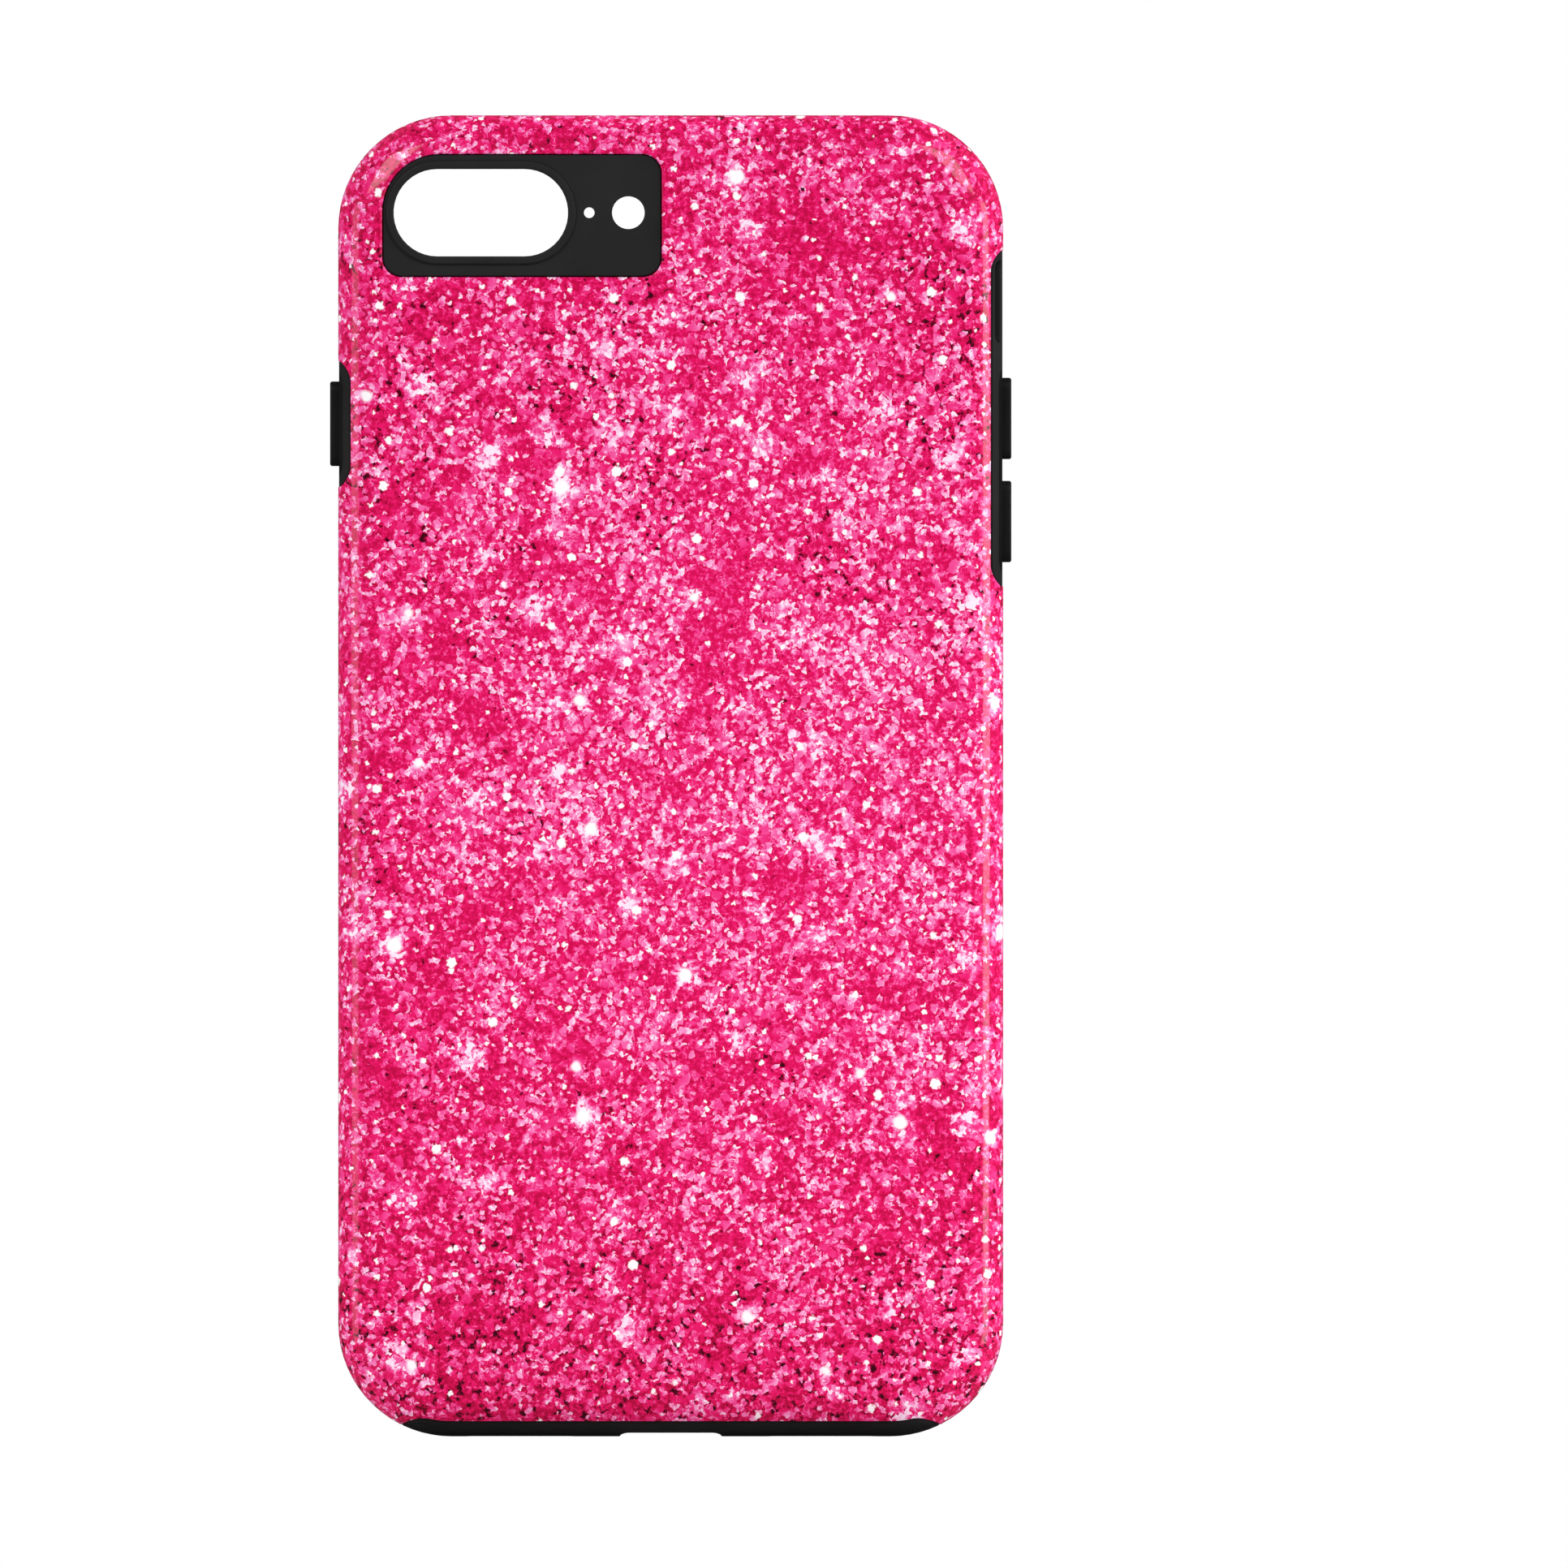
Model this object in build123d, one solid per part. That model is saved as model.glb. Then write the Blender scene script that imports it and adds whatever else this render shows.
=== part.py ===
from build123d import *
import os

# A two-layer phone case, standing upright.  +Z runs along its length, to the camera end.
# The printed back faces -Y, the open front faces +Y, and +X is the side of the volume buttons.
# The origin is the centre of the case's box.  A depth is a distance in front of the back plane.

# Outer form
CASE_WIDTH = 81.6
CASE_LENGTH = 162.1
CASE_DEPTH = 10.9
CORNER_R = 13.9
BACK_EDGE_R = 5.2
FRONT_EDGE_R = 4.0

# Outer shell
SHELL_BACK = 1.0
SHELL_WALL = 0.85
SHELL_DEPTH = 7.7
SHELL_INNER_EDGE_R = 4.3
SHELL_EDGE_ROUND = 0.2

# Inner liner and the phone's pocket in it
LAYER_GAP = 0.05
PARTING_GAP = 0.08
LINER_BACK = 0.7
LINER_WALL = 0.8
PHONE_DEPTH = 7.4
POCKET_BACK_EDGE_R = 3.5
POCKET_FRONT_EDGE_R = 2.4
MOUTH_INSET = 4.4
MOUTH_ROUND = 0.35

# Notches in the shell's walls, which the liner fills
NOTCH_TIP_R = 0.5
NOTCH_GAP = 0.08
SIDE_NOTCH_BACK = 1.8
SIDE_NOTCH_CORNER_R = 2.5
SIDE_FILL_INSET = 0.15
VOLUME_NOTCH_CENTRE = 43.85
VOLUME_NOTCH_LENGTH = 41.1
POWER_NOTCH_CENTRE = 43.15
POWER_NOTCH_LENGTH = 15.3
BOTTOM_NOTCH_BACK = 1.5
BOTTOM_NOTCH_CORNER_R = 3.5
BOTTOM_NOTCH_WIDTH = 65.8

# Camera window in the shell, and the liner's camera pad in it
WINDOW_LEFT = -35.4
WINDOW_RIGHT = -1.1
WINDOW_BOTTOM = 61.2
WINDOW_TOP = 76.3
WINDOW_OUTER_CORNER_R = 7.1
WINDOW_CORNER_R = 2.4
WINDOW_EDGE_ROUND = 0.3
PAD_RECESS = 0.35
PAD_ROUND = 0.2
LENS_CENTRE = (-23.3, 69.1)
LENS_OPENING = (21.4, 10.7)
LENS_RIM_WIDTH = 1.0
MICROPHONE_CENTRE = (-10.0, 69.1)
MICROPHONE_R = 0.65
FLASH_CENTRE = (-5.2, 69.1)
FLASH_R = 2.0

# Openings in the liner's walls
OPENING_ROUND = 0.3
MUTE_CENTRE = 58.15
MUTE_LENGTH = 10.0
MUTE_BACK = 2.6
MUTE_FRONT = 7.4
MUTE_CORNER_R = 0.9
PORT_WIDTH = 12.2
PORT_BACK = 3.15
PORT_FRONT = 8.35
PORT_CORNER_R = 1.0
SPEAKER_CENTRE = 18.5
SPEAKER_LENGTH = 14.0
SPEAKER_WIDTH = 2.6

# Buttons
BUTTON_DEPTH = 5.35
BUTTON_WIDTH = 2.5
VOLUME_BUTTON_LENGTH = 10.0
VOLUME_UP_CENTRE = 43.85
VOLUME_DOWN_CENTRE = 31.2
POWER_BUTTON_LENGTH = 10.4
POWER_BUTTON_CENTRE = 43.2
BUTTON_PROUD = 1.0
BUTTON_ROUND = 0.3
BUTTON_CLEARANCE = 0.08
FLANGE_OVERHANG = 0.3
FLANGE_THICKNESS = 0.3
NUB_WIDTH = 1.4
NUB_LENGTH = 6.0
NUB_HEIGHT = 0.25

# Flexible webs round the buttons
WEB_WIDTH = 4.1
WEB_MARGIN = 1.35
WEB_THICKNESS = 0.5
WEB_GAP = 0.1
WEB_LEDGE = 0.3

# Moulding details inside the pocket
FLOOR_PANEL_INSET = 8.0
FLOOR_PANEL_TOP = 57.0
FLOOR_PANEL_CORNER_R = 4.0
FLUTES_PER_CORNER = 7
FLUTE_R = 0.55
FLUTE_CUT = 0.3
FLUTE_BACK = 4.4
FLUTE_FRONT = 7.6
FLUTE_SPREAD = 66.0
GATE_MARK_R = 1.5
EJECTOR_MARK_R = 2.0
EJECTOR_SPACING = (44.0, 50.0)
MARK_DEPTH = 0.12

# Worked out from the sizes above
HALF_WIDTH = CASE_WIDTH / 2
HALF_LENGTH = CASE_LENGTH / 2
POCKET_INSET = SHELL_WALL + LAYER_GAP + LINER_WALL
FLOOR_DEPTH = SHELL_BACK + LAYER_GAP + LINER_BACK
SCREEN_DEPTH = FLOOR_DEPTH + PHONE_DEPTH
SIDE_FACE = HALF_WIDTH - SIDE_FILL_INSET
WEB_BACK = SIDE_FACE - WEB_THICKNESS
VOLUME_WEB_CENTRE = (VOLUME_UP_CENTRE + VOLUME_DOWN_CENTRE) / 2
VOLUME_WEB_LENGTH = VOLUME_UP_CENTRE - VOLUME_DOWN_CENTRE + VOLUME_BUTTON_LENGTH + 2 * WEB_MARGIN
POWER_WEB_LENGTH = POWER_BUTTON_LENGTH + 2 * WEB_MARGIN
BEYOND = 2.0
TOUCH = 0.001
RIGHT = 1
LEFT = -1


def prism(sketch, depth_from, depth_to):
    """A sketch of the back view (X, Z) as a solid between two depths."""
    plane = Plane(origin=(0, depth_to - CASE_DEPTH / 2, 0), x_dir=(1, 0, 0), z_dir=(0, -1, 0))
    return extrude(plane * sketch, amount=depth_to - depth_from)


def side_prism(sketch, side, inner, outer):
    """A sketch of the side view (depth, Z) as a solid between two distances from the middle."""
    plane = Plane(origin=(side * inner, -CASE_DEPTH / 2, 0), x_dir=(0, 1, 0), z_dir=(1, 0, 0))
    return extrude(plane * sketch, amount=side * (outer - inner))


def bottom_prism(sketch, z_from, z_to):
    """A sketch of the view from above (X, depth) as a solid between two heights."""
    plane = Plane(origin=(0, -CASE_DEPTH / 2, z_from), x_dir=(1, 0, 0), z_dir=(0, 0, 1))
    return extrude(plane * sketch, amount=z_to - z_from)


def outline(inset):
    """The case's outline in the back view, drawn in by inset."""
    return RectangleRounded(CASE_WIDTH - 2 * inset, CASE_LENGTH - 2 * inset, CORNER_R - inset)


def slab(inset, depth_from, depth_to, back_r=0.0, front_r=0.0):
    """The drawn-in outline as a slab whose back and front edges may be rounded."""
    body = prism(outline(inset), depth_from, depth_to)
    if back_r > 0:
        body = fillet(body.faces().sort_by(Axis.Y)[0].edges(), back_r)
    if front_r > 0:
        body = fillet(body.faces().sort_by(Axis.Y)[-1].edges(), front_r)
    return body


def outer_form(inset=0.0):
    """The whole case's outside, or the same form with its sides drawn in."""
    return slab(inset, 0, CASE_DEPTH, BACK_EDGE_R - inset, FRONT_EDGE_R - inset)


def runs_on(edge, body):
    """True for an edge that runs along the surface of a body."""
    points = [edge @ 0.1, edge @ 0.5, edge @ 0.9]
    return all(min(face.distance_to(point) for face in body.faces()) < TOUCH for point in points)


def round_cut(body, skin, tool, radius):
    """The body with the edges rounded that a tool's cut leaves on the skin."""
    edges = [edge for edge in body.edges() if runs_on(edge, tool) and runs_on(edge, skin)]
    return fillet(edges, radius)


def slot(centre, width, length):
    """A slot along the sketch's Y, by its full width and length."""
    return Pos(*centre) * SlotOverall(length, width, rotation=90)


def notch(back, corner_r, centre, length, gap=0.0):
    """A wall notch and the space in front of the shell: X is depth, Y is along the wall."""
    parting = SHELL_DEPTH + gap
    front = CASE_DEPTH + BEYOND
    inner = Rectangle(front - back - gap, length - 2 * gap)
    sketch = Pos((back + gap + front) / 2, centre) * inner
    sketch += Pos((parting + front) / 2, centre) * Rectangle(front - parting, length + 4 * BEYOND)
    depths = sketch.vertices().group_by(Axis.X)
    sketch = fillet(depths[0], corner_r - gap)
    tips = [v for v in sketch.vertices() if abs(v.X - parting) < TOUCH]
    tips = [v for v in tips if abs(v.Y - centre) < length / 2 + TOUCH]
    return fillet(tips, NOTCH_TIP_R + gap)


def volume_notch(gap=0.0):
    """The space of the shell's notch on the side of the volume buttons."""
    sketch = notch(
        SIDE_NOTCH_BACK, SIDE_NOTCH_CORNER_R, VOLUME_NOTCH_CENTRE, VOLUME_NOTCH_LENGTH, gap
    )
    return side_prism(sketch, RIGHT, HALF_WIDTH - BACK_EDGE_R, HALF_WIDTH + BEYOND)


def power_notch(gap=0.0):
    """The space of the shell's notch on the side of the power button."""
    sketch = notch(
        SIDE_NOTCH_BACK, SIDE_NOTCH_CORNER_R, POWER_NOTCH_CENTRE, POWER_NOTCH_LENGTH, gap
    )
    return side_prism(sketch, LEFT, HALF_WIDTH - BACK_EDGE_R, HALF_WIDTH + BEYOND)


def bottom_notch(gap=0.0):
    """The space of the shell's notch along the bottom wall."""
    sketch = notch(BOTTOM_NOTCH_BACK, BOTTOM_NOTCH_CORNER_R, 0, BOTTOM_NOTCH_WIDTH, gap)
    sketch = mirror(sketch, Plane.YZ)
    sketch = Rot(0, 0, -90) * sketch
    return bottom_prism(sketch, -HALF_LENGTH - BEYOND, CORNER_R / 2 - HALF_LENGTH)


def window(inset=0.0):
    """The outline of the camera window, with its largest round at the case's own corner."""
    width = WINDOW_RIGHT - WINDOW_LEFT
    height = WINDOW_TOP - WINDOW_BOTTOM
    centre = ((WINDOW_LEFT + WINDOW_RIGHT) / 2, (WINDOW_BOTTOM + WINDOW_TOP) / 2)
    sketch = Pos(*centre) * Rectangle(width - 2 * inset, height - 2 * inset)
    case_corner = (WINDOW_LEFT, WINDOW_TOP, 0)
    others = sketch.vertices().sort_by_distance(case_corner)[1:]
    sketch = fillet(others, WINDOW_CORNER_R - inset)
    corner = sketch.vertices().sort_by_distance(case_corner)[0]
    return fillet(corner, WINDOW_OUTER_CORNER_R - inset)


def make_outer_shell():
    """The hard printed shell: a back panel and walls, with notches and a camera window."""
    front = prism(outline(-BEYOND), SHELL_DEPTH, CASE_DEPTH + BEYOND)
    opened = front + volume_notch() + power_notch() + bottom_notch()
    camera = prism(window(), -BEYOND, SHELL_BACK + BEYOND)
    body = outer_form() - slab(SHELL_WALL, SHELL_BACK, CASE_DEPTH + BEYOND, SHELL_INNER_EDGE_R)
    body = round_cut(body - opened - camera, outer_form(), camera, WINDOW_EDGE_ROUND)
    return round_cut(body, outer_form(), opened, SHELL_EDGE_ROUND)


def filled_liner():
    """The liner before its pocket is cut: it fills the shell and shows through its notches."""
    body = slab(
        SHELL_WALL + LAYER_GAP,
        SHELL_BACK + LAYER_GAP,
        SHELL_DEPTH + PARTING_GAP + LINER_WALL,
        SHELL_INNER_EDGE_R - LAYER_GAP,
    )
    body += outer_form() & prism(outline(-BEYOND), SHELL_DEPTH + PARTING_GAP, CASE_DEPTH)
    body += outer_form() & bottom_notch(NOTCH_GAP)
    body += outer_form(SIDE_FILL_INSET) & (volume_notch(NOTCH_GAP) + power_notch(NOTCH_GAP))
    return body


def camera_pad():
    """The part of the liner in the shell's camera window, with a raised rim round the lenses."""
    pad = prism(window(NOTCH_GAP), PAD_RECESS, FLOOR_DEPTH)
    pad = fillet(pad.faces().sort_by(Axis.Y)[0].edges(), PAD_ROUND)
    width, height = LENS_OPENING
    rim_outline = SlotOverall(width + 2 * LENS_RIM_WIDTH, height + 2 * LENS_RIM_WIDTH)
    rim_outline -= SlotOverall(width, height)
    rim = prism(Pos(*LENS_CENTRE) * rim_outline, 0, FLOOR_DEPTH)
    return pad + fillet(rim.faces().sort_by(Axis.Y)[0].edges(), PAD_RECESS - LAYER_GAP)


def camera_openings():
    """The spaces through the camera pad for the lenses, the microphone and the flash."""
    openings = Pos(*LENS_CENTRE) * SlotOverall(*LENS_OPENING)
    openings += Pos(*MICROPHONE_CENTRE) * Circle(MICROPHONE_R)
    openings += Pos(*FLASH_CENTRE) * Circle(FLASH_R)
    return prism(openings, -BEYOND, FLOOR_DEPTH + BEYOND)


def mute_opening():
    """The space through the wall for the mute switch."""
    middle = (MUTE_BACK + MUTE_FRONT) / 2
    sketch = RectangleRounded(MUTE_FRONT - MUTE_BACK, MUTE_LENGTH, MUTE_CORNER_R)
    return side_prism(Pos(middle, MUTE_CENTRE) * sketch, RIGHT,
                      HALF_WIDTH - BACK_EDGE_R, HALF_WIDTH + BEYOND)


def bottom_openings():
    """The spaces through the bottom wall for the charging plug, the speaker and the microphone."""
    middle = (PORT_BACK + PORT_FRONT) / 2
    port = RectangleRounded(PORT_WIDTH, PORT_FRONT - PORT_BACK, PORT_CORNER_R)
    sketch = Pos(0, middle) * port
    for side in (LEFT, RIGHT):
        sketch += Pos(side * SPEAKER_CENTRE, middle) * SlotOverall(SPEAKER_LENGTH, SPEAKER_WIDTH)
    return bottom_prism(sketch, -HALF_LENGTH - BEYOND, BEYOND - HALF_LENGTH + POCKET_INSET)


def web_seat(side, centre, length):
    """The stepped space in a wall that a button web sits in."""
    seat = slot((BUTTON_DEPTH, centre), WEB_WIDTH + 2 * WEB_GAP, length + 2 * WEB_GAP)
    through = slot((BUTTON_DEPTH, centre), WEB_WIDTH - 2 * WEB_LEDGE, length - 2 * WEB_LEDGE)
    space = side_prism(seat, side, WEB_BACK, HALF_WIDTH + BEYOND)
    return space + side_prism(through, side, HALF_WIDTH - BACK_EDGE_R, WEB_BACK)


def corner_flutes():
    """Short upright flutes in the pocket's four corners, which let them give."""
    wall_r = CORNER_R - POCKET_INSET
    flute_circle = wall_r + FLUTE_CUT - FLUTE_R
    flutes = Sketch()
    for x_side, z_side, middle in ((1, 1, 45), (-1, 1, 135), (-1, -1, 225), (1, -1, 315)):
        centre = Pos(x_side * (HALF_WIDTH - CORNER_R), z_side * (HALF_LENGTH - CORNER_R))
        start = middle - FLUTE_SPREAD / 2
        places = PolarLocations(
            flute_circle, FLUTES_PER_CORNER, start_angle=start, angular_range=FLUTE_SPREAD,
            endpoint=True,
        )
        flutes += centre * places * Circle(FLUTE_R)
    return prism(flutes, FLUTE_BACK, FLUTE_FRONT)


def floor_marks():
    """The shallow panel in the pocket's floor, with its gate and ejector marks."""
    half_width = HALF_WIDTH - FLOOR_PANEL_INSET
    bottom = FLOOR_PANEL_INSET - HALF_LENGTH
    panel = RectangleRounded(2 * half_width, FLOOR_PANEL_TOP - bottom, FLOOR_PANEL_CORNER_R)
    middle = Pos(0, (FLOOR_PANEL_TOP + bottom) / 2)
    marks = middle * Circle(GATE_MARK_R)
    marks += middle * GridLocations(*EJECTOR_SPACING, 2, 3) * Circle(EJECTOR_MARK_R)
    cut = prism(middle * panel, FLOOR_DEPTH - MARK_DEPTH, FLOOR_DEPTH + BEYOND)
    return cut + prism(marks, FLOOR_DEPTH - 2 * MARK_DEPTH, FLOOR_DEPTH + BEYOND)


def make_inner_liner():
    """The soft liner: the phone's pocket, its rim, and what shows through the shell."""
    body = filled_liner() + camera_pad()
    body -= slab(
        POCKET_INSET, FLOOR_DEPTH, SCREEN_DEPTH, POCKET_BACK_EDGE_R, POCKET_FRONT_EDGE_R
    )
    mouth = prism(outline(MOUTH_INSET), SCREEN_DEPTH - MOUTH_ROUND, CASE_DEPTH + BEYOND)
    body = round_cut(body - mouth, outer_form(), mouth, MOUTH_ROUND)
    mute = mute_opening()
    body = round_cut(body - mute, outer_form(SIDE_FILL_INSET), mute, OPENING_ROUND)
    bottom = bottom_openings()
    body = round_cut(body - bottom, outer_form(), bottom, OPENING_ROUND)
    body -= camera_openings()
    body -= web_seat(RIGHT, VOLUME_WEB_CENTRE, VOLUME_WEB_LENGTH)
    body -= web_seat(LEFT, POWER_BUTTON_CENTRE, POWER_WEB_LENGTH)
    return body - corner_flutes() - floor_marks()


def make_web(side, centre, length, buttons):
    """A thin web in its wall seat, with a hole for each (centre, length) of a button."""
    sketch = slot((BUTTON_DEPTH, centre), WEB_WIDTH, length)
    for button_centre, button_length in buttons:
        hole_width = BUTTON_WIDTH + 2 * BUTTON_CLEARANCE
        hole_length = button_length + 2 * BUTTON_CLEARANCE
        sketch -= slot((BUTTON_DEPTH, button_centre), hole_width, hole_length)
    return side_prism(sketch, side, WEB_BACK, SIDE_FACE)


def make_button(side, centre, length):
    """A button pad with a flange behind its web and a nub that meets the phone's key."""
    place = (BUTTON_DEPTH, centre)
    flange_outer = WEB_BACK - LAYER_GAP
    flange_inner = flange_outer - FLANGE_THICKNESS
    pad = side_prism(slot(place, BUTTON_WIDTH, length), side, flange_outer,
                     HALF_WIDTH + BUTTON_PROUD)
    outer_face = pad.faces().sort_by(Axis.X)[-1 if side == RIGHT else 0]
    pad = fillet(outer_face.edges(), BUTTON_ROUND)
    flange_slot = slot(place, BUTTON_WIDTH + 2 * FLANGE_OVERHANG, length + 2 * FLANGE_OVERHANG)
    flange = side_prism(flange_slot, side, flange_inner, flange_outer)
    nub = side_prism(slot(place, NUB_WIDTH, NUB_LENGTH), side, flange_inner - NUB_HEIGHT,
                     flange_inner)
    return pad + flange + nub


VOLUME_UP = (VOLUME_UP_CENTRE, VOLUME_BUTTON_LENGTH)
VOLUME_DOWN = (VOLUME_DOWN_CENTRE, VOLUME_BUTTON_LENGTH)
POWER = (POWER_BUTTON_CENTRE, POWER_BUTTON_LENGTH)

PARTS = {
    "outer_shell": make_outer_shell(),
    "inner_liner": make_inner_liner(),
    "volume_button_web": make_web(
        RIGHT, VOLUME_WEB_CENTRE, VOLUME_WEB_LENGTH, [VOLUME_UP, VOLUME_DOWN]
    ),
    "volume_up_button": make_button(RIGHT, *VOLUME_UP),
    "volume_down_button": make_button(RIGHT, *VOLUME_DOWN),
    "power_button_web": make_web(LEFT, POWER_BUTTON_CENTRE, POWER_WEB_LENGTH, [POWER]),
    "power_button": make_button(LEFT, *POWER),
}

os.makedirs("parts", exist_ok=True)
for name, body in PARTS.items():
    export_step(body, "parts/" + name + ".step")
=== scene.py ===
import math

import bpy
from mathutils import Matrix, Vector


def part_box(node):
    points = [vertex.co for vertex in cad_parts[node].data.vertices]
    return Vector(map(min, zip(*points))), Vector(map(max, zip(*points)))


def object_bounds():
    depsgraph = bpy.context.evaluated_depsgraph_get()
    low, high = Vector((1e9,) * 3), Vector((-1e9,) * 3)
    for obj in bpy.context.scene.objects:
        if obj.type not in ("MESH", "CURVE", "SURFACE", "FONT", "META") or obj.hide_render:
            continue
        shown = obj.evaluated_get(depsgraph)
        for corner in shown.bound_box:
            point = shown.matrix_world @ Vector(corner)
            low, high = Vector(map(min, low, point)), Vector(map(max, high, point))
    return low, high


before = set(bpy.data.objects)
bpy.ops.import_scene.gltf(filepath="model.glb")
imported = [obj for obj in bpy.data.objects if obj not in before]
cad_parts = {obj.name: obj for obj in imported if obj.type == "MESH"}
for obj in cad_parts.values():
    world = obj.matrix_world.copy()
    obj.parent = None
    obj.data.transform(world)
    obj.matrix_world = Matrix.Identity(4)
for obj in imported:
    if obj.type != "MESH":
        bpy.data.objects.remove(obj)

# A two-layer phone case: a glossy shell printed with pink glitter over a matte black liner.
# It stands on its lower end, with its printed back to -Y.  Lengths are in metres, as in the
# frame; the materials' patterns are laid out in millimetres.

CAD_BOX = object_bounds()
SHELL_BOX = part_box("outer_shell")
LINER_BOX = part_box("inner_liner")
MM = 0.001

# The rounds of the case's outline and back edge, which the print is wrapped round, and how deep
# the print reaches into the shell's wall, all in millimetres
CORNER_R = 13.9
BACK_EDGE_R = 5.2
PRINTED_SKIN = 0.8

# How closely the print follows the back edge's round: at 0 it is laid straight onto the round
# from behind, and is stretched there; at 1 it is rolled on without any stretch
ROLL = 0.6

# The liner's pocket, in millimetres: how far its floor is from the back, and the dots on it,
# which keep a margin from the sides and the bottom and stop at a height below the window
FLOOR_DEPTH = 1.75
DOT_PITCH = 1.6
DOT_R = 0.4
DOT_MARGIN = 9.5
DOT_TOP = 55.5

# Framing: the width that the camera sees, and how far its centre is from the case's centre
VIEW_WIDTH = 0.1924
VIEW_OFFSET_X = 0.0139
VIEW_OFFSET_Z = -0.0010
CAMERA_DISTANCE = 0.9

# The studio: how high the soft lights hang over the case's centre, the strength of the even
# light from all round, half the floor's width, and the shares of that half width at which the
# floor starts to fade and is gone
LIGHTS_UP = 0.55
EVEN_LIGHT = 0.08
FLOOR_REACH = 0.6
FADE_FROM = 0.25
FADE_TO = 0.95


def srgb(red, green, blue):
    """An 8-bit display colour as the linear colour that a shader takes."""
    def linear(level):
        value = level / 255
        return value / 12.92 if value <= 0.04045 else ((value + 0.055) / 1.055) ** 2.4
    return (linear(red), linear(green), linear(blue), 1.0)


class Tree:
    """A material's node tree, with a short call for each kind of node that is used here."""

    def __init__(self, name):
        self.material = bpy.data.materials.new(name)
        self.material.use_nodes = True
        self.nodes = self.material.node_tree.nodes
        self.links = self.material.node_tree.links
        self.shader = self.nodes["Principled BSDF"]

    def node(self, kind, **settings):
        made = self.nodes.new(kind)
        for name, value in settings.items():
            setattr(made, name, value)
        return made

    def feed(self, socket, value):
        """Links a socket to an output, or sets it to a plain value."""
        if isinstance(value, bpy.types.NodeSocket):
            self.links.new(value, socket)
        else:
            socket.default_value = value

    def math(self, operation, first, second=0.0, third=0.0):
        made = self.node("ShaderNodeMath", operation=operation)
        for socket, value in zip(made.inputs, (first, second, third)):
            self.feed(socket, value)
        return made.outputs[0]

    def vector(self, operation, first, second=(0.0, 0.0, 0.0)):
        made = self.node("ShaderNodeVectorMath", operation=operation)
        self.feed(made.inputs[0], first)
        self.feed(made.inputs[1], second)
        return made.outputs["Value" if operation in ("LENGTH", "DOT_PRODUCT") else "Vector"]

    def scaled(self, vector, factor):
        made = self.node("ShaderNodeVectorMath", operation="SCALE")
        self.feed(made.inputs[0], vector)
        self.feed(made.inputs["Scale"], factor)
        return made.outputs["Vector"]

    def joined(self, x, y, z=0.0):
        made = self.node("ShaderNodeCombineXYZ")
        for socket, value in zip(made.inputs, (x, y, z)):
            self.feed(socket, value)
        return made.outputs[0]

    def parts(self, vector):
        made = self.node("ShaderNodeSeparateXYZ")
        self.feed(made.inputs[0], vector)
        return made.outputs

    def step(self, value, low, high):
        """0 below low and 1 above high, smooth between; falling if low is above high."""
        made = self.node("ShaderNodeMapRange", interpolation_type="SMOOTHSTEP")
        ends = (low, high, 0.0, 1.0) if low < high else (high, low, 1.0, 0.0)
        for socket, end in zip(made.inputs, (value, *ends)):
            self.feed(socket, end)
        return made.outputs[0]

    def mix(self, factor, first, second):
        """The first colour at a factor of 0, the second at 1; sockets 6 and 7 hold colours."""
        made = self.node("ShaderNodeMix", data_type="RGBA")
        self.feed(made.inputs[0], factor)
        self.feed(made.inputs[6], first)
        self.feed(made.inputs[7], second)
        return made.outputs[2]

    def blend(self, factor, first, second):
        """The first number at a factor of 0, the second at 1; sockets 2 and 3 hold numbers."""
        made = self.node("ShaderNodeMix", data_type="FLOAT")
        self.feed(made.inputs[0], factor)
        self.feed(made.inputs[2], first)
        self.feed(made.inputs[3], second)
        return made.outputs[0]

    def ramp(self, value, stops):
        """A colour ramp through (place, colour) stops, given in rising order."""
        made = self.node("ShaderNodeValToRGB")
        elements = made.color_ramp.elements
        elements[0].position, elements[0].color = stops[0]
        elements[1].position, elements[1].color = stops[-1]
        for place, colour in stops[1:-1]:
            elements.new(place).color = colour
        self.feed(made.inputs[0], value)
        return made.outputs[0]

    def noise(self, place, size, detail=2.0, roughness=0.5, dimensions="3D"):
        """Noise whose lumps are about size across, in the units of place."""
        made = self.node("ShaderNodeTexNoise", noise_dimensions=dimensions)
        self.feed(made.inputs["Vector"], place)
        made.inputs["Scale"].default_value = 1 / size
        made.inputs["Detail"].default_value = detail
        made.inputs["Roughness"].default_value = roughness
        return made.outputs

    def cells(self, place, size):
        """Flat Voronoi cells about size across, in the units of place."""
        made = self.node("ShaderNodeTexVoronoi", voronoi_dimensions="2D")
        self.feed(made.inputs["Vector"], place)
        made.inputs["Scale"].default_value = 1 / size
        return made.outputs

    def bump(self, height, distance):
        """A bump from a height of 0 to 1 that stands for distance metres."""
        made = self.node("ShaderNodeBump")
        made.inputs["Strength"].default_value = 1.0
        made.inputs["Distance"].default_value = distance
        self.feed(made.inputs["Height"], height)
        self.links.new(made.outputs[0], self.shader.inputs["Normal"])

    def place_mm(self):
        """The point's place in the case's own frame, in millimetres."""
        coordinates = self.node("ShaderNodeTexCoord").outputs["Object"]
        return self.scaled(coordinates, 1 / MM)


# --- the print: pink glitter ---

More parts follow.
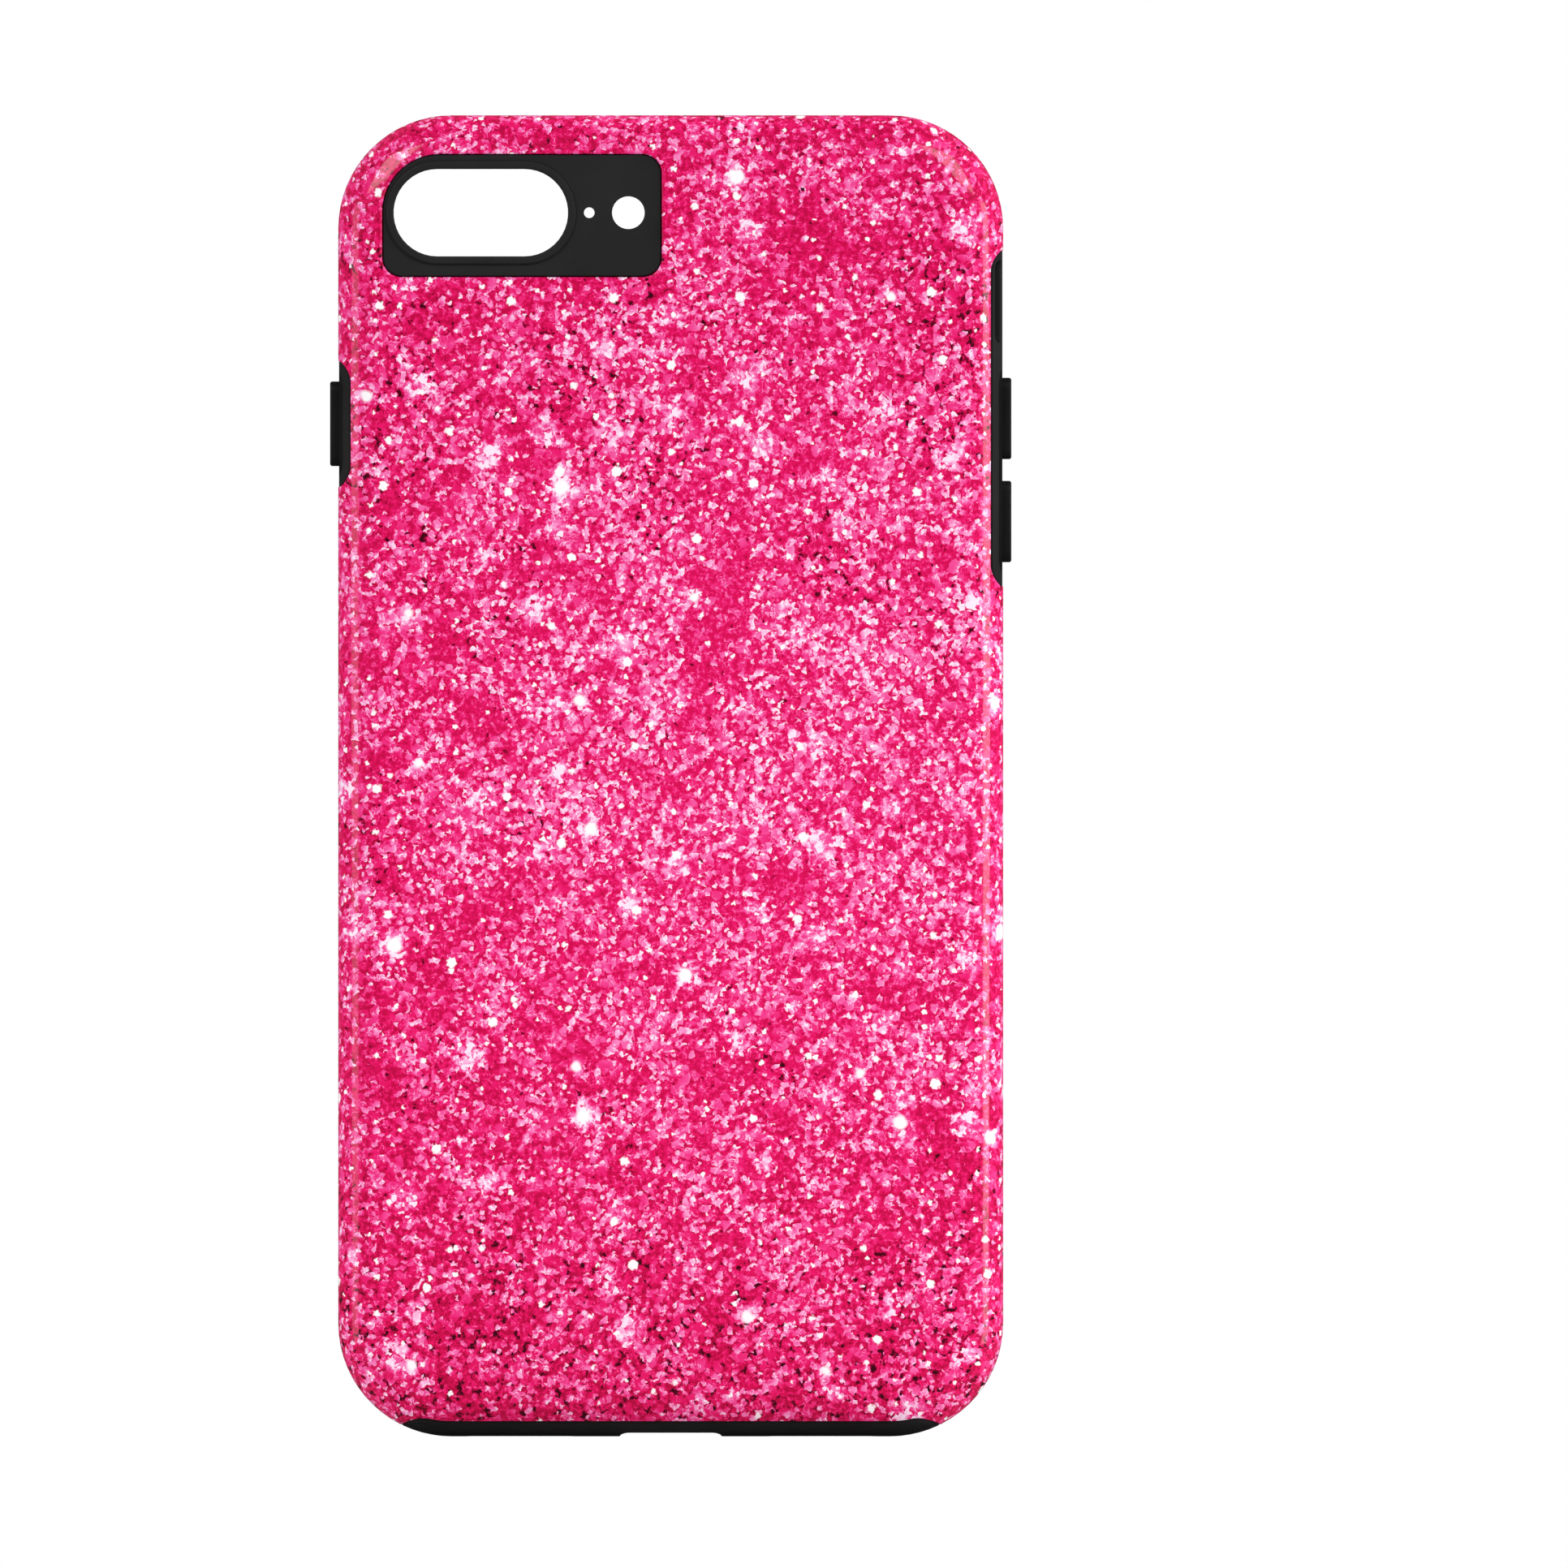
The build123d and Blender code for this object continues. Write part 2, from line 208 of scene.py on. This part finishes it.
# Tones run from DEEPEST in the darkest gap, through 0 between the flakes, to 1 on a white one
DEEPEST = -0.5
TONES = [
    (DEEPEST, srgb(60, 0, 20)),
    (-0.20, srgb(134, 2, 46)),
    (0.00, srgb(190, 5, 68)),
    (0.16, srgb(219, 12, 88)),
    (0.34, srgb(232, 24, 107)),
    (0.50, srgb(239, 64, 143)),
    (0.66, srgb(244, 112, 178)),
    (0.82, srgb(248, 163, 211)),
    (1.00, srgb(253, 228, 245)),
]

# Three layers of flakes, from the lowest up: their size in millimetres, the size and strength of
# the crumpling of their edges, how much a flake's tone changes across it, the share of the print
# that they cover where it is neither crowded nor bare, and their lowest and highest tone
FLAKE_LAYERS = [
    {"size": 1.00, "crumple": (0.80, 0.8), "tilt": 1.0, "share": 0.24, "tones": (0.26, 0.60)},
    {"size": 0.68, "crumple": (0.60, 0.7), "tilt": 1.6, "share": 0.21, "tones": (0.38, 0.86)},
    {"size": 0.46, "crumple": (0.45, 0.5), "tilt": 1.4, "share": 0.12, "tones": (0.60, 1.00)},
]

# How strongly patches of the print are crowded with flakes or bare of them
PATCHINESS = 0.6

# The large sparkles: how far apart their cells lie, in millimetres, and the share of cells with one
LARGE_SPARKLE_SPACING = 19.0
LARGE_SPARKLE_CHANCE = 0.5

# Where the dark gaps gather: the heights on the print, in millimetres, over which they fade in
# and out near the top and fade in towards the bottom, how much denser they are at the bottom than
# at the top, and how much a dense place lifts the noises that the gaps are cut from
UPPER_GAPS_BELOW = (10.0, 40.0)
UPPER_GAPS_ABOVE = (75.0, 50.0)
LOWER_GAPS = (-50.0, -72.0)
LOWER_GAPS_WEIGHT = 2.2
GAP_LIFT = 0.13

# A painted pool of light on the print's middle: its centre and how far it reaches, in millimetres
LIGHT_POOL_CENTRE = (10.0, 8.0, 0.0)
LIGHT_POOL_REACH = (75.0, 88.0, 1.0)

# The tone of the ground between the flakes, and what each mark adds to a tone
GROUND_TONE = 0.20
GROUND_LEAST = 0.06
LUMP_CONTRAST = 1.6
CROWD_CONTRAST = 0.25
GAP_TONE = -0.70
CLUMP_TONE = 0.40
STROKE_TONE = 0.32
# The next lifts the tone under the painted pool of light on the print's middle
LIGHT_POOL_TONE = 0.16
OVERALL_TONE = -0.10


def beyond_corners(tree, place):
    """How far a point lies outside the rectangle through the outline's corner centres."""
    x, _, z = tree.parts(place)
    low, high = SHELL_BOX
    half_x = (high.x - low.x) / 2 / MM - CORNER_R
    # The shell is cut short at its lower end, so only its top gives the outline's half height
    half_z = high.z / MM - CORNER_R
    held_x = tree.math("MINIMUM", tree.math("MAXIMUM", x, -half_x), half_x)
    held_z = tree.math("MINIMUM", tree.math("MAXIMUM", z, -half_z), half_z)
    return tree.joined(tree.math("SUBTRACT", x, held_x), tree.math("SUBTRACT", z, held_z))


def depth_mm(tree, place):
    """How far a point lies in front of the back plane."""
    return tree.math("SUBTRACT", tree.parts(place)[1], SHELL_BOX[0].y / MM)


def wrapped_place(tree, place):
    """The flat print's own coordinates: the back's X and Z, rolled on round the edges."""
    depth = depth_mm(tree, place)
    turn = tree.math("ARCCOSINE", tree.math("MULTIPLY_ADD", depth, -1 / BACK_EDGE_R, 1.0))
    turn = tree.math("MINIMUM", turn, math.pi / 2)
    round_rise = tree.math("SUBTRACT", turn, tree.math("SINE", turn))
    wall_rise = tree.math("MAXIMUM", tree.math("SUBTRACT", depth, BACK_EDGE_R), 0.0)
    rise = tree.math("MULTIPLY_ADD", round_rise, ROLL * BACK_EDGE_R, wall_rise)
    outward = tree.vector("NORMALIZE", beyond_corners(tree, place))
    x, _, z = tree.parts(place)
    return tree.vector("ADD", tree.joined(x, z), tree.scaled(outward, rise))


def skin_depth(tree, place):
    """How far a point lies inside the case's outer surface."""
    sideways = tree.math("SUBTRACT", CORNER_R, tree.vector("LENGTH", beyond_corners(tree, place)))
    from_side = tree.math("MAXIMUM", tree.math("SUBTRACT", BACK_EDGE_R, sideways), 0.0)
    depth = depth_mm(tree, place)
    from_back = tree.math("MAXIMUM", tree.math("SUBTRACT", BACK_EDGE_R, depth), 0.0)
    reach = tree.vector("LENGTH", tree.joined(from_side, from_back))
    return tree.math("SUBTRACT", BACK_EDGE_R, reach)


def crumpled(tree, place, size, amount):
    """A place pushed about by noise, so that cells laid on it get ragged edges."""
    noise = tree.noise(place, size, detail=0.5, dimensions="2D")["Color"]
    push = tree.vector("SUBTRACT", noise, (0.5, 0.5, 0.5))
    return tree.vector("ADD", place, tree.scaled(push, amount))


def flakes(tree, place, size, tilt):
    """(random value, tone leaning one way across it) of the glitter flake at a place."""
    cell = tree.cells(place, size)
    red, green, blue = tree.parts(cell["Color"])
    across = tree.vector("SUBTRACT", place, cell["Position"])
    way = tree.joined(tree.math("SUBTRACT", green, 0.5), tree.math("SUBTRACT", blue, 0.5))
    lean = tree.math("MULTIPLY", tree.vector("DOT_PRODUCT", across, way), tilt / size)
    return red, tree.math("ADD", green, lean)


def dots(tree, place, spacing, radius, softness, chance):
    """Round spots from half a radius to a whole one, scattered about spacing apart.

    Each cell's random colour says whether it has a spot, by its red, and how large, by its green.
    """
    cell = tree.cells(place, spacing)
    red, green, _ = tree.parts(cell["Color"])
    away = tree.math("MULTIPLY", cell["Distance"], spacing)
    size = tree.math("MULTIPLY_ADD", green, radius / 2, radius / 2)
    inside = tree.math("SUBTRACT", size, away)
    spot = tree.step(inside, -softness, softness)
    return tree.math("MULTIPLY", spot, tree.math("LESS_THAN", red, chance))


def sparkle_mask(tree, place):
    """White sparkles of three sizes: many points, some dots and a few large ones."""
    ragged = crumpled(tree, place, 0.4, 0.5)
    rounder = crumpled(tree, place, 0.9, 0.35)
    points = dots(tree, ragged, spacing=3.4, radius=0.34, softness=0.08, chance=0.40)
    small = dots(tree, ragged, spacing=7.5, radius=0.62, softness=0.12, chance=0.45)
    large = dots(tree, rounder, LARGE_SPARKLE_SPACING, radius=0.95, softness=0.25,
                 chance=LARGE_SPARKLE_CHANCE)
    return tree.math("MAXIMUM", tree.math("MAXIMUM", points, small), large)


def clump_mask(tree, place):
    """Pale clumps of flakes, and the paler flakes round each large sparkle."""
    ragged = crumpled(tree, place, 0.8, 1.6)
    finer = crumpled(tree, place, 0.5, 0.7)
    clumps = dots(tree, ragged, spacing=8.5, radius=2.0, softness=0.8, chance=0.4)
    halo = dots(tree, finer, LARGE_SPARKLE_SPACING, radius=1.7, softness=0.9,
                chance=LARGE_SPARKLE_CHANCE)
    return tree.math("MAXIMUM", clumps, halo)


def with_flakes(tree, place, tone, crowd, layer):
    """A tone with a layer of flakes laid over it, more of them where the print is crowded."""
    ragged = crumpled(tree, place, *layer["crumple"])
    value, own = flakes(tree, ragged, layer["size"], layer["tilt"])
    bare = 1.0 - layer["share"]
    cover = tree.step(tree.math("ADD", value, crowd), bare - 0.02, bare + 0.02)
    low, high = layer["tones"]
    laid = tree.math("MULTIPLY_ADD", own, high - low, low)
    return tree.blend(cover, tone, laid)


def stroke_mask(tree, place):
    """Thin curled bright edges of flakes, in broken lines."""
    curl = tree.noise(place, 0.75, detail=1.0, dimensions="2D")["Fac"]
    off_line = tree.math("ABSOLUTE", tree.math("SUBTRACT", curl, 0.5))
    line = tree.step(off_line, 0.045, 0.012)
    breaks = tree.noise(place, 1.2, detail=1.0, dimensions="2D")["Fac"]
    return tree.math("MULTIPLY", line, tree.step(breaks, 0.48, 0.56))


def gap_mask(tree, place):
    """Dark gaps under the flakes, which gather in a band near the top and towards the bottom."""
    pits = tree.noise(place, 1.1, detail=2.0, roughness=0.6, dimensions="2D")["Fac"]
    _, along, _ = tree.parts(place)
    above = tree.step(along, *UPPER_GAPS_BELOW)
    below = tree.step(along, *UPPER_GAPS_ABOVE)
    upper = tree.math("MULTIPLY", above, below)
    lower = tree.math("MULTIPLY", tree.step(along, *LOWER_GAPS), LOWER_GAPS_WEIGHT)
    spread = tree.noise(place, 14.0, detail=4.0, dimensions="2D")["Fac"]
    density = tree.math("MULTIPLY_ADD", tree.math("MAXIMUM", upper, lower), GAP_LIFT, spread)
    dense = tree.step(density, 0.50, 0.75)
    return tree.step(tree.math("MULTIPLY_ADD", dense, GAP_LIFT, pits), 0.66, 0.84)


def painted_light_pool(tree, place):
    """How near a point is to the middle of the painted pool of light: 1 there, 0 at the far ends.
    """
    away = tree.vector("SUBTRACT", place, LIGHT_POOL_CENTRE)
    away = tree.vector("DIVIDE", away, LIGHT_POOL_REACH)
    return tree.step(tree.vector("LENGTH", away), 1.0, 0.15)


def glitter_tone(tree, place):
    """How pale the print is at a place, with a painted pool of light on its middle, as one of the
    tones in TONES.
    """
    lumps = tree.noise(place, 0.7, detail=3.0, roughness=0.6, dimensions="2D")["Fac"]
    patch = tree.noise(place, 10.0, detail=6.0, roughness=0.52, dimensions="2D")["Fac"]
    crowd = tree.math("MULTIPLY", tree.math("SUBTRACT", patch, 0.5), PATCHINESS)
    lump = tree.math("SUBTRACT", lumps, 0.5)
    tone = tree.math("MULTIPLY_ADD", lump, LUMP_CONTRAST, GROUND_TONE)
    tone = tree.math("MULTIPLY_ADD", crowd, CROWD_CONTRAST, tone)
    tone = tree.math("MAXIMUM", tone, GROUND_LEAST)
    tone = tree.math("MULTIPLY_ADD", gap_mask(tree, place), GAP_TONE, tone)
    for layer in FLAKE_LAYERS:
        tone = with_flakes(tree, place, tone, crowd, layer)
    tone = tree.math("MULTIPLY_ADD", clump_mask(tree, place), CLUMP_TONE, tone)
    tone = tree.math("MULTIPLY_ADD", stroke_mask(tree, place), STROKE_TONE, tone)
    # Painted light: the print is made paler towards its middle, as if lit there
    tone = tree.math("MULTIPLY_ADD", painted_light_pool(tree, place), LIGHT_POOL_TONE, tone)
    return tree.math("ADD", tone, OVERALL_TONE)


def glitter_colour(tree, place):
    """The printed glitter, from dark crimson gaps to near white flakes."""
    span = 1.0 - DEEPEST
    tone = tree.math("SUBTRACT", glitter_tone(tree, place), DEEPEST)
    stops = [((stop - DEEPEST) / span, colour) for stop, colour in TONES]
    return tree.ramp(tree.math("DIVIDE", tone, span), stops)


def printed_shell():
    """Hard gloss plastic: glitter print outside under a clear coat, bare white inside."""
    tree = Tree("printed_shell")
    place = tree.place_mm()
    flat = wrapped_place(tree, place)
    colour = glitter_colour(tree, flat)
    colour = tree.mix(sparkle_mask(tree, flat), colour, srgb(255, 250, 253))
    bare = tree.step(skin_depth(tree, place), PRINTED_SKIN - 0.03, PRINTED_SKIN)
    colour = tree.mix(bare, colour, srgb(236, 233, 230))
    tree.feed(tree.shader.inputs["Base Color"], colour)
    smudge = tree.noise(place, 22.0, detail=3.0)["Fac"]
    tree.feed(tree.shader.inputs["Roughness"], tree.math("MULTIPLY_ADD", smudge, 0.12, 0.34))
    tree.shader.inputs["Specular IOR Level"].default_value = 0.05
    tree.shader.inputs["Coat Weight"].default_value = 0.55
    tree.shader.inputs["Coat Roughness"].default_value = 0.09
    tree.shader.inputs["Coat IOR"].default_value = 1.5
    tree.bump(tree.noise(place, 1.6, detail=1.0)["Fac"], 0.004 * MM)
    return tree.material


# --- the soft black mouldings ---

def floor_dots(tree, place):
    """Rows of tiny raised dots on the pocket's floor, which keep the phone's back off it."""
    x, _, z = tree.parts(place)
    across = tree.math("PINGPONG", x, DOT_PITCH / 2)
    along = tree.math("PINGPONG", z, DOT_PITCH / 2)
    away = tree.vector("LENGTH", tree.joined(across, along))
    dot = tree.step(away, DOT_R, 0.4 * DOT_R)
    low, high = LINER_BOX
    half_width = (high.x - low.x) / 2 / MM - DOT_MARGIN
    inside = tree.math("LESS_THAN", tree.math("ABSOLUTE", x), half_width)
    above = tree.math("GREATER_THAN", z, low.z / MM + DOT_MARGIN)
    below = tree.math("LESS_THAN", z, DOT_TOP)
    inside = tree.math("MULTIPLY", inside, tree.math("MULTIPLY", above, below))
    depth = depth_mm(tree, place)
    on_floor = tree.math("COMPARE", depth, FLOOR_DEPTH, 0.2)
    return tree.math("MULTIPLY", dot, tree.math("MULTIPLY", inside, on_floor))


def soft_black(name, dark, light, roughness, grain_mm, dotted=False):
    """Matte black moulded elastomer with a fine grain and faint rubbed patches."""
    tree = Tree(name)
    place = tree.place_mm()
    patches = tree.noise(place, 9.0, detail=5.0, roughness=0.6)["Fac"]
    colour = tree.ramp(patches, [(0.3, dark), (0.7, light)])
    height = tree.math("MULTIPLY", tree.noise(place, grain_mm, detail=3.0)["Fac"], 0.1)
    if dotted:
        raised = floor_dots(tree, place)
        # Painted highlight: the raised dots' tops are coloured lighter than the floor, as if lit
        colour = tree.mix(raised, colour, srgb(46, 46, 47))
        height = tree.math("ADD", height, raised)
    tree.feed(tree.shader.inputs["Base Color"], colour)
    rubbed = tree.math("MULTIPLY_ADD", patches, 0.14, roughness - 0.07)
    tree.feed(tree.shader.inputs["Roughness"], rubbed)
    tree.shader.inputs["Specular IOR Level"].default_value = 0.14
    tree.bump(height, 0.12 * MM)
    return tree.material


def dress_nodes():
    """Gives each CAD node its material."""
    shell = printed_shell()
    liner = soft_black("soft_liner", srgb(30, 30, 30), srgb(36, 36, 36),
                       roughness=0.62, grain_mm=0.16, dotted=True)
    web = soft_black("button_web", srgb(22, 22, 22), srgb(28, 28, 28),
                     roughness=0.6, grain_mm=0.14)
    pad = soft_black("button_pad", srgb(20, 20, 20), srgb(26, 26, 26),
                     roughness=0.5, grain_mm=0.12)
    choices = {
        "outer_shell": shell,
        "inner_liner": liner,
        "volume_button_web": web,
        "power_button_web": web,
        "volume_up_button": pad,
        "volume_down_button": pad,
        "power_button": pad,
    }
    for name, material in choices.items():
        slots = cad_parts[name].material_slots
        slots[0].material = material


# --- studio ---

def aim(light, target):
    """Turns a light, which shines along its own -Z, towards a point."""
    direction = target - light.location
    light.rotation_euler = direction.to_track_quat("-Z", "Y").to_euler()


def make_camera(centre):
    """A flat, level view of the printed back, as in a catalogue picture."""
    data = bpy.data.cameras.new("camera")
    data.type = "ORTHO"
    data.ortho_scale = VIEW_WIDTH
    camera = bpy.data.objects.new("camera", data)
    target = centre + Vector((VIEW_OFFSET_X, 0.0, VIEW_OFFSET_Z))
    camera.location = target - Vector((0.0, CAMERA_DISTANCE, 0.0))
    camera.rotation_euler = (math.pi / 2, 0.0, 0.0)
    bpy.context.scene.collection.objects.link(camera)
    bpy.context.scene.camera = camera


def soft_light(name, place, target, width, height, power, mirrored=True):
    """A rectangular studio light, which the glossy coat shows unless mirrored is off."""
    data = bpy.data.lights.new(name, "AREA")
    data.shape = "RECTANGLE"
    data.size = width
    data.size_y = height
    data.energy = power
    light = bpy.data.objects.new(name, data)
    light.location = place
    light.visible_glossy = mirrored
    bpy.context.scene.collection.objects.link(light)
    aim(light, target)


def make_lights(centre):
    """High soft lights in front and behind, and two upright strips beside the case.

    The rear lights don't show in the coat, so that the case's rim stays a deep pink.
    """
    for name, x, y, side, power in (
        ("key_left", -0.50, -0.55, 0.45, 3.95),
        ("key_right", 0.50, -0.55, 0.45, 3.55),
        ("rear_left", -0.50, 0.55, 0.90, 6.0),
        ("rear_right", 0.60, 0.40, 0.90, 7.8),
    ):
        place = centre + Vector((x, y, LIGHTS_UP))
        in_front = y < 0
        soft_light(name, place, centre, side, side, power, mirrored=in_front)
    right = centre + Vector((0.55, -0.17, 0.02))
    left = centre + Vector((-0.56, -0.16, 0.02))
    soft_light("strip_right", right, centre, width=0.16, height=0.40, power=1.2)
    soft_light("strip_left", left, centre, width=0.20, height=0.40, power=0.55)


def make_world():
    """White all round for the camera, and a low even light on the case."""
    world = bpy.data.worlds.new("studio")
    world.use_nodes = True
    nodes = world.node_tree.nodes
    links = world.node_tree.links
    seen = nodes.new("ShaderNodeBackground")
    seen.inputs["Color"].default_value = (1.0, 1.0, 1.0, 1.0)
    seen.inputs["Strength"].default_value = 1.0
    cast = nodes["Background"]
    cast.inputs["Color"].default_value = (1.0, 1.0, 1.0, 1.0)
    cast.inputs["Strength"].default_value = EVEN_LIGHT
    chosen = nodes.new("ShaderNodeMixShader")
    links.new(nodes.new("ShaderNodeLightPath").outputs["Is Camera Ray"], chosen.inputs["Fac"])
    links.new(cast.outputs[0], chosen.inputs[1])
    links.new(seen.outputs[0], chosen.inputs[2])
    links.new(chosen.outputs[0], nodes["World Output"].inputs["Surface"])
    bpy.context.scene.world = world
    bpy.context.scene.view_settings.view_transform = "Standard"


def make_floor():
    """A plain pale floor under the case, which fades into the white backdrop."""
    level = CAD_BOX[0].z
    corners = [(-FLOOR_REACH, -FLOOR_REACH, level), (FLOOR_REACH, -FLOOR_REACH, level),
               (FLOOR_REACH, FLOOR_REACH, level), (-FLOOR_REACH, FLOOR_REACH, level)]
    mesh = bpy.data.meshes.new("floor")
    mesh.from_pydata(corners, [], [(0, 1, 2, 3)])
    floor = bpy.data.objects.new("floor", mesh)
    bpy.context.scene.collection.objects.link(floor)
    tree = Tree("floor")
    tree.shader.inputs["Base Color"].default_value = srgb(244, 244, 244)
    tree.shader.inputs["Roughness"].default_value = 0.85
    x, y, _ = tree.parts(tree.place_mm())
    away = tree.vector("LENGTH", tree.joined(x, y))
    far = tree.step(away, FADE_FROM * FLOOR_REACH / MM, FADE_TO * FLOOR_REACH / MM)
    fading = tree.node("ShaderNodeMixShader")
    tree.feed(fading.inputs["Fac"], far)
    tree.feed(fading.inputs[1], tree.shader.outputs[0])
    tree.feed(fading.inputs[2], tree.node("ShaderNodeBsdfTransparent").outputs[0])
    tree.feed(tree.nodes["Material Output"].inputs["Surface"], fading.outputs[0])
    mesh.materials.append(tree.material)
    # The coat doesn't show the floor either, for the same reason as the rear lights
    floor.visible_glossy = False


case_centre = (CAD_BOX[0] + CAD_BOX[1]) / 2
make_camera(case_centre)
make_world()
make_lights(case_centre)
make_floor()
dress_nodes()
